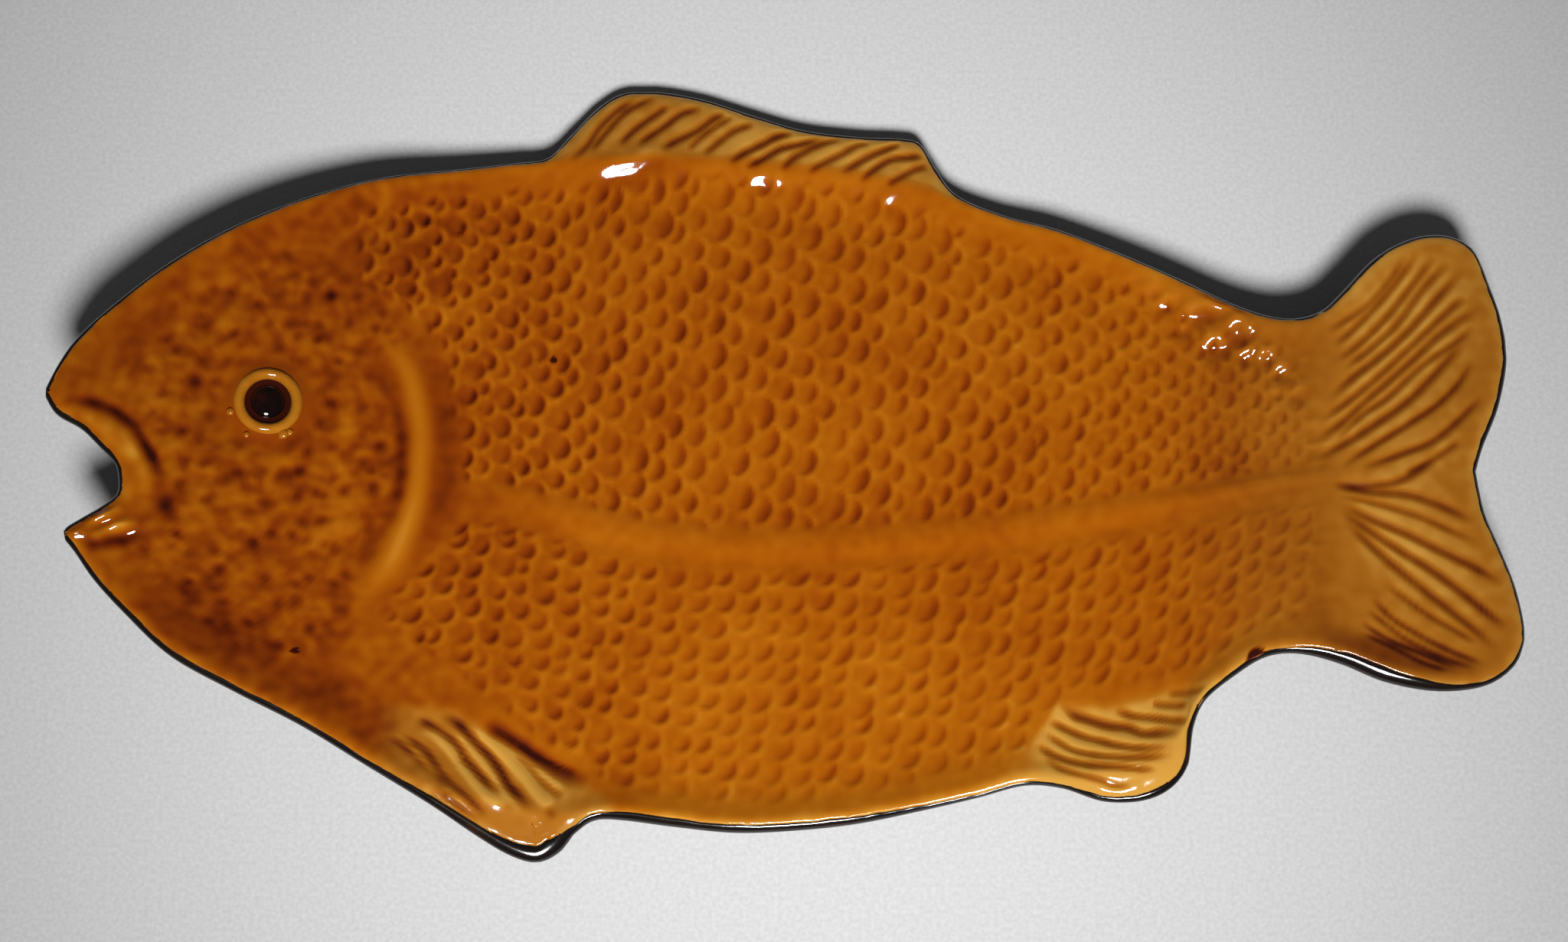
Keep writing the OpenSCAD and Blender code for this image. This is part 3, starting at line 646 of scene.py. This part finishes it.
def close_skins(upper, lower):
    """Joins an upper and a lower skin into one closed piece, bridged round their borders."""
    fuse_pieces([upper, lower])
    bpy.ops.object.mode_set(mode="EDIT")
    bpy.ops.mesh.select_mode(type="EDGE")
    bpy.ops.mesh.select_all(action="DESELECT")
    bpy.ops.mesh.select_non_manifold()
    bpy.ops.mesh.bridge_edge_loops()
    bpy.ops.mesh.select_all(action="SELECT")
    bpy.ops.mesh.normals_make_consistent(inside=False)
    bpy.ops.object.mode_set(mode="OBJECT")
    bpy.ops.object.shade_smooth()


def set_inputs(tree, node, inputs):
    """Sets each of a node's inputs to a value, or links it where the value is an output."""
    for socket, value in inputs.items():
        if isinstance(value, bpy.types.NodeSocket):
            tree.links.new(value, node.inputs[socket])
        else:
            node.inputs[socket].default_value = value


def finish_node(tree, kind, inputs, **settings):
    node = tree.nodes.new("ShaderNode" + kind)
    for name, value in settings.items():
        setattr(node, name, value)
    set_inputs(tree, node, inputs)
    return node


def colour_tones(tree, value, stops):
    """A ramp that a value runs along. A stop is its position and its colour as seen, 0 to 255."""
    ramp = finish_node(tree, "ValToRGB", {"Fac": value})
    elements = ramp.color_ramp.elements
    while len(elements) < len(stops):
        elements.new(0.5)
    for element, (position, *seen) in zip(elements, stops):
        element.position = position
        linear = [((c / 255 + 0.055) / 1.055) ** 2.4 if c > 10 else c / 255 / 12.92 for c in seen]
        element.color = linear + [1]
    return ramp.outputs["Color"]


def clouds(tree, place, scale, detail):
    return finish_node(tree, "TexNoise", {"Scale": scale, "Detail": detail, "Vector": place}).outputs["Fac"]


def fine_grain(tree, shader, height, strength, distance):
    """A fine unevenness of the face, which shows in how it shines."""
    bump = finish_node(tree, "Bump", {"Strength": strength, "Distance": distance, "Height": height})
    set_inputs(tree, shader, {"Normal": bump.outputs["Normal"]})


def new_finish(name, roughness):
    """A material with its node tree, its shader and the coordinates of the piece."""
    material = bpy.data.materials.new(name)
    material.use_nodes = True
    tree = material.node_tree
    shader = tree.nodes["Principled BSDF"]
    set_inputs(tree, shader, {"Roughness": roughness})
    return material, tree, shader, finish_node(tree, "TexCoord", {}).outputs["Object"]


def clouded_finish(name, roughness, scale, detail, stops):
    """A material whose colour drifts along a ramp with a noise."""
    material, tree, shader, place = new_finish(name, roughness)
    cloud = clouds(tree, place, scale, detail)
    set_inputs(tree, shader, {"Base Color": colour_tones(tree, cloud, stops)})
    return material, tree, shader, place, cloud


def buff_clay():
    """Bare fired clay: pale buff with fine dark grog and a dry, slightly open face."""
    material, tree, shader, _, speck = clouded_finish("buff_clay", 0.85, 900, 4, [
        (0.30, 150, 112, 78), (0.48, 206, 172, 134), (0.72, 219, 190, 154)])
    fine_grain(tree, shader, speck, 0.35, 0.2 * mm)
    return material


clay = buff_clay()
clay_relief_share = 0.7
clay_below_face = 1.7 * mm
under_curl = 2.2 * mm
under_curl_reach = 5 * mm
body_plan = Plan(232, 44, 56, [0, 1.6 * mm, 3.6 * mm, 6 * mm])
body_x, body_y, inset = body_plan.drawn_in(1.2 * mm, 6 * mm)
body_top = dish_height(body_plan) + clay_relief_share * relief(body_plan) - edge_drop(inset) - clay_below_face
clay_body, _, _ = skin("clay_body", body_x, body_y, body_top)
under_plan = Plan(116, 22, 28, [0, 3 * mm, 7 * mm])
under_x, under_y, inset = under_plan.drawn_in(1.4 * mm, 7 * mm)
curl = under_curl * smooth(1 - inset / under_curl_reach)
under_z = dish_height(under_plan) - glaze_thickness - clay_thickness + curl
close_skins(clay_body, skin("clay_under", under_x, under_y, under_z)[0])
clay_body.data.materials.append(clay)
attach(clay_body, "root")
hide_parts("earthenware_body")

# The foot ring
# An oval ring of the same clay under the well, which the platter stands on. Its lower face is
# wiped clean of glaze before the firing and ground flat, so it shows the bare buff clay.
foot_low, foot_high = [np.array(corner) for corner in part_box("foot_ring")]
foot_middle = (foot_low + foot_high) / 2
foot_land = 6 * mm
foot_bevel = 1.2 * mm
foot_top = foot_height + 0.4 * mm
bpy.ops.object.select_all(action="DESELECT")
bpy.ops.mesh.primitive_circle_add(vertices=160, radius=0.5, fill_type="NGON", location=foot_middle)
foot = bpy.context.object
foot.name = foot.data.name = "foot"
foot.scale = (foot_high[0] - foot_low[0], foot_high[1] - foot_low[1], 1)
foot.location.z = 0
bpy.ops.object.transform_apply()
bpy.ops.object.mode_set(mode="EDIT")
bpy.ops.mesh.select_all(action="SELECT")
bpy.ops.mesh.inset(thickness=foot_land)
bpy.ops.mesh.delete(type="FACE")
bpy.ops.mesh.select_all(action="SELECT")
bpy.ops.mesh.extrude_region_move(TRANSFORM_OT_translate={"value": (0, 0, foot_top)})
bpy.ops.mesh.select_all(action="SELECT")
bpy.ops.mesh.normals_make_consistent(inside=False)
bpy.ops.object.mode_set(mode="OBJECT")
bevel = foot.modifiers.new("ground_arris", "BEVEL")
bevel.width = foot_bevel
bevel.segments = 4
bevel.limit_method = "ANGLE"
bpy.ops.object.modifier_apply(modifier=bevel.name)
bpy.ops.object.shade_smooth_by_angle(angle=math.radians(40))
for vertex in foot.data.vertices:
    if vertex.co.z > foot_height / 2:
        vertex.co.z += float(lift(vertex.co.x))
foot.data.materials.append(clay)
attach(foot, "root")
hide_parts("foot_ring")

# The dark coat
# Almost black gloss glaze over the whole underside and round the edge. It is brushed on by hand,
# so the band that it leaves round the rim is wide at the breast fin and the tail and thin elsewhere.
belly_wrap = np.array([
    [-0.50, 1.5], [-0.40, 1.9], [-0.27, 1.8], [-0.21, 3.3], [-0.175, 4.9], [-0.155, 5.2], [-0.138, 1.6],
    [-0.11, 2.7], [-0.06, 2.4], [0.05, 2.2], [0.12, 1.0], [0.18, 1.0], [0.22, 1.6], [0.25, 2.3], [0.28, 1.4],
    [0.34, 1.7], [0.375, 3.6], [0.40, 4.2], [0.42, 3.2], [0.44, 2.0], [0.47, 1.3], [0.50, 1.4]])
back_wrap = np.array([[-0.50, 1.7], [-0.30, 1.1], [0.0, 1.1], [0.30, 1.2], [0.46, 1.5], [0.50, 1.9]])


def wrap_width(nearest):
    """Width of the dark band on the face at a point of the outline."""
    place = outline[nearest]
    share = place[..., 0] / length
    low = np.interp(share, belly_wrap[:, 0], belly_wrap[:, 1])
    high = np.interp(share, back_wrap[:, 0], back_wrap[:, 1])
    band = mix(low, high, smooth((place[..., 1] / width + 0.22) / 0.2)) * mm
    angle = nearest / len(outline) * 2 * math.pi
    brush = np.sin(angle * 61) + np.sin(angle * 97 + 1) + np.sin(angle * 173 + 2) + 0.6 * np.sin(angle * 401)
    return band + 0.07 * mm * brush


glaze_ior = 1.52


def dark_glaze():
    """Near-black gloss that turns brown where it runs thin, with a faint orange-peel face."""
    material, tree, shader, place, _ = clouded_finish("dark_glaze", 0.12, 55, 5, [
        (0.35, 16, 12, 11), (0.62, 24, 17, 14), (0.80, 46, 26, 16)])
    set_inputs(tree, shader, {"IOR": glaze_ior})
    fine_grain(tree, shader, clouds(tree, place, 260, 2), 0.12, 0.25 * mm)
    return material


# The band comes out from under the amber, passes the edge, turns back under it along a tighter
# quarter ellipse and meets the underside, at these shares of its depth
out_share, edge_share, under_share = 0.12, 0.55, 0.85
under_round = 2.6 * mm
under_fall = 3.3 * mm
band_depth = 7 * mm
tuck = 1.3 * mm
tuck_drop = 1.5 * mm
dark_plan = Plan(300, 56, 70, [band_depth * step / 12 for step in range(13)])
s = np.clip(dark_plan.edge / band_depth, 0, 1)
turn = np.arccos(np.clip(1 - wrap_width(dark_plan.nearest) / edge_round, -1, 1))
turn = turn * np.clip((edge_share - s) / (edge_share - out_share), 0, 1)
over_inset = edge_round * (1 - np.cos(turn)) + tuck * np.clip(1 - s / out_share, 0, 1)
over_z = -edge_fall * (1 - np.sin(turn)) - tuck_drop * smooth(1 - s / out_share)
back_turn = np.clip((s - edge_share) / (under_share - edge_share), 0, 1) * math.pi / 2
past = np.clip((s - under_share) / (1 - under_share), 0, 1)
below_inset = under_round * (1 - np.cos(back_turn)) + (band_depth - under_round) * past
below_z = -edge_fall - under_fall * np.sin(back_turn)
inset = np.where(s < edge_share, over_inset, below_inset)
drop = np.where(s < edge_share, over_z, below_z)
banded = s < 1
dark_x, dark_y = dark_plan.at_inset(inset, banded)
under_face = dish_height(dark_plan) - clay_thickness - 2 * glaze_thickness
edge_z = rim_height(dark_x) - fin_fall(dark_plan)
dark_z = np.where(banded, mix(edge_z + drop, under_face, past), under_face)
dark_coat, _, _ = skin("dark_coat", dark_x, dark_y, dark_z)
bpy.ops.object.mode_set(mode="EDIT")
bpy.ops.mesh.select_all(action="SELECT")
bpy.ops.mesh.flip_normals()
bpy.ops.object.mode_set(mode="OBJECT")
coat = dark_coat.modifiers.new("coat", "SOLIDIFY")
coat.thickness = 0.6 * mm
coat.offset = -1
bpy.ops.object.modifier_apply(modifier=coat.name)
bpy.ops.object.shade_smooth()
dark_coat.data.materials.append(dark_glaze())
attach(dark_coat, "root")
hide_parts("black_glaze")

# The amber coat
# A flowing honey-coloured gloss glaze over the whole face. It is thin and yellow on the ridges and
# gathers red-brown in the scales, the grooves of the fins and the pebbles of the head.
amber_plan = Plan(462, 90, 110, [0, 0.8 * mm, 1.7 * mm, 2.8 * mm, 4.1 * mm, 5.6 * mm])
wrap = wrap_width(amber_plan.nearest)
amber_plan.x, amber_plan.y, amber_plan.edge = amber_plan.drawn_in(wrap, 3 * wrap + 3 * mm)
mould = relief(amber_plan)
eye_gap = from_eye(amber_plan)
# The low swelling of the face that the eye's ring stands in
collar_height = 1.2 * mm
collar = collar_height * swell(eye_gap, 10 * mm, 2.7 * mm)
amber_z = dish_height(amber_plan) + mould + collar - edge_drop(amber_plan.edge)


def blurred(values, reach):
    """Values of a grid averaged over so many vertices each way, three times over."""
    window = np.ones(2 * reach + 1) / (2 * reach + 1)
    for axis in (0, 1) * 3:
        sides = [(reach, reach) if axis == other else (0, 0) for other in (0, 1)]
        padded = np.pad(values, sides, mode="edge")
        values = np.apply_along_axis(np.convolve, axis, padded, window, mode="valid")
    return values


# How deep the glaze lies: deep in the hollows, thin on the ridges, thinner on the fins. The same value also
# carries painted shade along the fish and some broad changes of tone, added below
x, y = amber_plan.x, amber_plan.y
carved = (mould - 0.9 * lateral_line(amber_plan) - 0.75 * lit_ledges(amber_plan)) / mm
hollows = blurred(carved, 4) - carved
on_fin = rise(-np.minimum(amber_plan.inside_back, amber_plan.inside_belly), -2, 5)
on_fin = np.maximum(on_fin, 0.8 * rise(x, 170, 20))
breast_top = border_at(x, [(-130, -82), (-110, -83), (-88, -95), (-70, -104), (-52, -116)])
on_breast_fin = fall(y - breast_top, 0, 5) * rise(x, -136, 12) * fall(x, -52, 8)
belly_top = border_at(x, [(79, -95), (84, -88), (88, -82), (96, -83), (106, -83), (118, -80), (134, -76)])
on_belly_fin = fall(y - belly_top, 1, 6) * rise(x, 70, 18)
on_fin = np.maximum(on_fin, np.maximum(on_breast_fin, on_belly_fin * fall(x, 144, 6)))
smooth_gill = np.maximum(1 - groove(amber_plan, gill_roll, -1, 8 * mm, 0.1, 0.1), 0)
mottle = uneven_ground(amber_plan, np.full(x.shape, True), 4.2, 11, 0.7, (3, 8, 1))
mottle = mottle * mix(0.08, 0.17, fall(x, -100, 25)) * rise(eye_gap, 11, 5) * smooth_gill
glaze_pool_and_shade = 0.26 + 0.42 * hollows - 0.14 * carved + mottle
glaze_pool_and_shade += (0.12 * hollows - 0.23) * on_fin - 0.06 * on_belly_fin
glaze_pool_and_shade += 0.05 * (1 - smooth_gill) + 0.75 * fall(eye_gap, 8.6, 1.6) - 0.20 * fall(amber_plan.edge, 7, 7)
# Painted shade: the colour darkens towards the head and again at the tail's end, and lightens a little before
# the tail, standing in for how much light falls there
glaze_pool_and_shade += np.interp(x, np.array([-215, -150, -80, 20, 115, 190]) * mm, [0.10, 0.15, 0.05, 0, -0.04, 0.05])
# Darker in a band about 15 mm inside the edge of the throat
glaze_pool_and_shade += 0.16 * fall(x, -96, 30) * fall(y, -38, 20) * swell(amber_plan.edge, 15 * mm, 9 * mm)
# Lighter in a band along the belly's edge, less so on the belly fin
belly_band = fall(amber_plan.from_belly, 26, 26) * rise(x, -60, 30) * fall(x, 175, 30)
glaze_pool_and_shade -= 0.20 * belly_band * (1 - 0.8 * on_belly_fin)
# Broad patches where it lies thinner or deeper, and small dark specks of iron in it: the place, the
# half sizes in millimetres and, for a patch, its slant and the depth that it adds
for *patch, depth in [
        (5, -82, 75, 30, 0, -0.08), (-138, -28, 26, 22, 0, -0.09), (166, 12, 20, 24, 0, -0.09),
        (206, -38, 20, 16, 0, -0.09), (200, -70, 24, 7, -0.2, 0.40)]:
    glaze_pool_and_shade += depth * smooth(1.3 - np.hypot(*across_patch(amber_plan, *patch)))
for speck in [(152, -69, 2.3, 1.8), (150, -71, 1.5, 2.6), (-159, -68, 0.9, 0.8), (-79, 35, 1.1, 1.1)]:
    glaze_pool_and_shade += smooth(1.6 - 1.2 * np.hypot(*across_patch(amber_plan, *speck)))

amber_coat, column, row = skin("amber_coat", x, y, amber_z)
# The second value makes the glaze paler and greyer on the fins and over the tail: partly its real thinness
# there, partly a painted sheen
for name, values in (("glaze_pool_and_shade", glaze_pool_and_shade), ("thin", 0.72 * np.maximum(on_fin, rise(x, 110, 75)))):
    attribute = amber_coat.data.attributes.new(name, "FLOAT", "POINT")
    attribute.data.foreach_set("value", values[column, row].astype(np.float32))
under_plan = Plan(58, 12, 14, [0, 6 * mm])
wrap = wrap_width(under_plan.nearest)
under_x, under_y, inset = under_plan.drawn_in(wrap, 3 * wrap + 3 * mm)
under_z = dish_height(under_plan) - edge_drop(inset) - mix(0.5 * mm, 2.6 * mm, rise(under_plan.edge, 0, 9))
close_skins(amber_coat, skin("amber_under", under_x, under_y, under_z)[0])


def amber_glaze():
    """Honey gloss whose depth sets its colour, darkened where painted shade is carried in the same value,
    paler and greyer where it is thin and where a painted sheen is laid on the fins and the tail, with a faint
    orange-peel face.
    """
    material, tree, shader, place = new_finish("amber_glaze", 0.09)
    pool_and_shade = finish_node(tree, "Attribute", {}, attribute_name="glaze_pool_and_shade").outputs["Fac"]
    thinness_and_sheen = finish_node(tree, "Attribute", {}, attribute_name="thin").outputs["Fac"]
    drift_share = 0.34
    depth = finish_node(tree, "Math", {0: clouds(tree, place, 22, 3), 1: drift_share, 2: pool_and_shade},
                        operation="MULTIPLY_ADD").outputs["Value"]
    full = colour_tones(tree, depth, [(0.0, 196, 134, 40), (0.22, 172, 98, 8), (0.43, 154, 78, 1),
                                      (0.62, 130, 54, 0), (0.84, 92, 28, 0), (1.0, 48, 10, 2)])
    # These paler, greyer tones stand partly for thin glaze and partly for a painted sheen
    pale = colour_tones(tree, depth, [(0.0, 192, 142, 60), (0.22, 161, 102, 28), (0.43, 140, 82, 15),
                                      (0.62, 114, 58, 12), (0.84, 80, 32, 8), (1.0, 48, 14, 6)])
    # The colour sockets of this node share their names with others, so they are taken by number
    blend = finish_node(tree, "Mix", {}, data_type="RGBA")
    set_inputs(tree, blend, {0: thinness_and_sheen, 6: full, 7: pale})
    set_inputs(tree, shader, {"Base Color": blend.outputs[2], "IOR": glaze_ior})
    fine_grain(tree, shader, clouds(tree, place, 180, 2), 0.15, 0.3 * mm)
    return material


amber_coat.data.materials.append(amber_glaze())
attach(amber_coat, "root")
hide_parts("amber_glaze")

# The eye
# A raised round ring of the casting under the thin yellow of the same glaze, with a bead of
# dark glaze dropped into its middle, which is black at the centre and red-brown at its rim.
ring_outer = 11.5 * mm
ring_width = 4 * mm
ring_height = 2.4 * mm
eye_middle = (eye_centre[0], eye_centre[1], eye_height)
eye_turn = (0, -math.atan(eye_slope), 0)


def flattened(name, height_share):
    """The piece just made, named, with its height scaled to a share."""
    piece = bpy.context.object
    piece.name = piece.data.name = name
    piece.scale.z = height_share
    bpy.ops.object.transform_apply()
    bpy.ops.object.shade_smooth()
    return piece


def eye_glaze(name, roughness, stops):
    material, tree, shader, _, _ = clouded_finish(name, roughness, 160, 4, stops)
    set_inputs(tree, shader, {"IOR": glaze_ior})
    return material


bpy.ops.object.select_all(action="DESELECT")
bpy.ops.mesh.primitive_torus_add(location=eye_middle, rotation=eye_turn, major_segments=96, minor_segments=28,
                                 major_radius=ring_outer - ring_width / 2, minor_radius=ring_width / 2)
eye_ring = flattened("eye_socket_ring", ring_height / (ring_width / 2))
eye_ring.data.materials.append(eye_glaze("thin_amber_glaze", 0.09, [
    (0.25, 150, 88, 12), (0.6, 168, 104, 20), (0.9, 180, 120, 32)]))
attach(eye_ring, "root")
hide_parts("eye_ring")

bead_radius = 5.6 * mm
bead_height = 1.9 * mm
bpy.ops.object.select_all(action="DESELECT")
bpy.ops.mesh.primitive_uv_sphere_add(location=eye_middle, rotation=eye_turn, segments=64, ring_count=32,
                                     radius=bead_radius)
pupil = flattened("eye_bead", bead_height / bead_radius)
pupil.data.materials.append(eye_glaze("bead_glaze", 0.06, [
    (0.35, 8, 4, 4), (0.6, 22, 6, 4), (0.85, 60, 12, 6)]))
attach(pupil, "root")
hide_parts("eye_pupil")

# The glaze drops
# A few drops of the same amber glaze that ran together at the foot of the eye ring and froze there
# as clear little beads.
drop_lift = 0.9 * mm
drop_flatness = 0.6
drops = []
for x, y, radius in [(-11.5, -4.5, 1.3), (-6.0, -12.0, 1.0), (5.5, -11.0, 1.6), (7.5, -10.2, 1.1)]:
    at = (eye_centre[0] + x * mm, eye_centre[1] + y * mm, eye_height + eye_slope * x * mm + drop_lift)
    bpy.ops.object.select_all(action="DESELECT")
    bpy.ops.mesh.primitive_uv_sphere_add(location=at, segments=24, ring_count=16, radius=radius * mm)
    drops.append(flattened("glaze_drops", drop_flatness))
fuse_pieces(drops)
glaze_drops = drops[0]
glaze_drops.data.materials.append(eye_glaze("drop_glaze", 0.07, [(0.3, 150, 84, 10), (0.7, 166, 100, 16)]))
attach(glaze_drops, "root")

# The table
# A plain pale cloth that the platter lies on, out to where the camera no longer sees its end. The
# lamp lights a pool of it. Past the pool it shines for camera rays alone, so that it stays pale.
bpy.ops.object.select_all(action="DESELECT")
bpy.ops.mesh.primitive_plane_add(size=12)
table = bpy.context.object
table.name = "table"
lit_wide, lit_high = 0.62, 0.78
glow_start, glow_full, glow_strength = 0.52, 0.88, 0.50
cloth, tree, shader, place, _ = clouded_finish("pale_cloth", 0.9, 700, 3, [
    (0.3, 198, 198, 199), (0.7, 211, 211, 211)])
spot = finish_node(tree, "Mapping", {
    "Location": (0, -0.13, 0), "Scale": (1 / lit_wide, 1 / lit_high, 1), "Vector": place})
far = finish_node(tree, "VectorMath", {0: spot.outputs["Vector"]}, operation="LENGTH")
outside = finish_node(tree, "MapRange", {
    "Value": far.outputs["Value"], "From Min": glow_start, "From Max": glow_full, "To Max": glow_strength},
    interpolation_type="SMOOTHSTEP")
ray = finish_node(tree, "LightPath", {}).outputs["Is Camera Ray"]
glow = finish_node(tree, "Math", {0: ray, 1: outside.outputs["Result"]}, operation="MULTIPLY")
set_inputs(tree, shader, {
    "Specular IOR Level": 0.2, "Emission Color": (1, 1, 1, 1), "Emission Strength": glow.outputs["Value"]})
table.data.materials.append(cloth)

# The light and the camera
# One soft lamp stands in front of the platter, well above it, and a weak even light comes from all
# round. Camera rays alone see that room paler, so that there is no black behind the platter.
lamp_width = 0.40
lamp_power = 2.1
lamp_spread = math.radians(38)
room_light = 0.05
room_paler = 0.45
lamp_data = bpy.data.lights.new("lamp", "AREA")
lamp_data.shape = "DISK"
lamp_data.size = lamp_width
lamp_data.energy = lamp_power
lamp_data.spread = lamp_spread
lamp = bpy.data.objects.new("lamp", lamp_data)
lamp.location = (0.086, -1.03, 1.34)
lamp_aim = Vector((-0.005, 0.018, 0))
lamp.rotation_euler = (lamp_aim - lamp.location).to_track_quat("-Z", "Y").to_euler()
scene = bpy.context.scene
scene.collection.objects.link(lamp)
world = bpy.data.worlds.new("room")
world.use_nodes = True
tree = world.node_tree
ray = finish_node(tree, "LightPath", {}).outputs["Is Camera Ray"]
strength = finish_node(tree, "Math", {0: ray, 1: room_paler, 2: room_light}, operation="MULTIPLY_ADD")
set_inputs(tree, tree.nodes["Background"], {"Color": (1, 1, 1, 1), "Strength": strength.outputs["Value"]})
scene.world = world

camera_data = bpy.data.cameras.new("camera")
camera_data.sensor_width = 36
camera_data.sensor_fit = "HORIZONTAL"
camera_data.lens = 60
camera = bpy.data.objects.new("camera", camera_data)
camera_tilt = math.radians(15)
camera_target = Vector((-0.85 * mm, -7.14 * mm, 22.2 * mm))
camera_distance = 863.3 * mm
camera.location = camera_target + camera_distance * Vector((0, -math.sin(camera_tilt), math.cos(camera_tilt)))
camera.rotation_euler = (camera_tilt, 0, 0)
scene.collection.objects.link(camera)
scene.camera = camera
scene.view_settings.view_transform = "Standard"
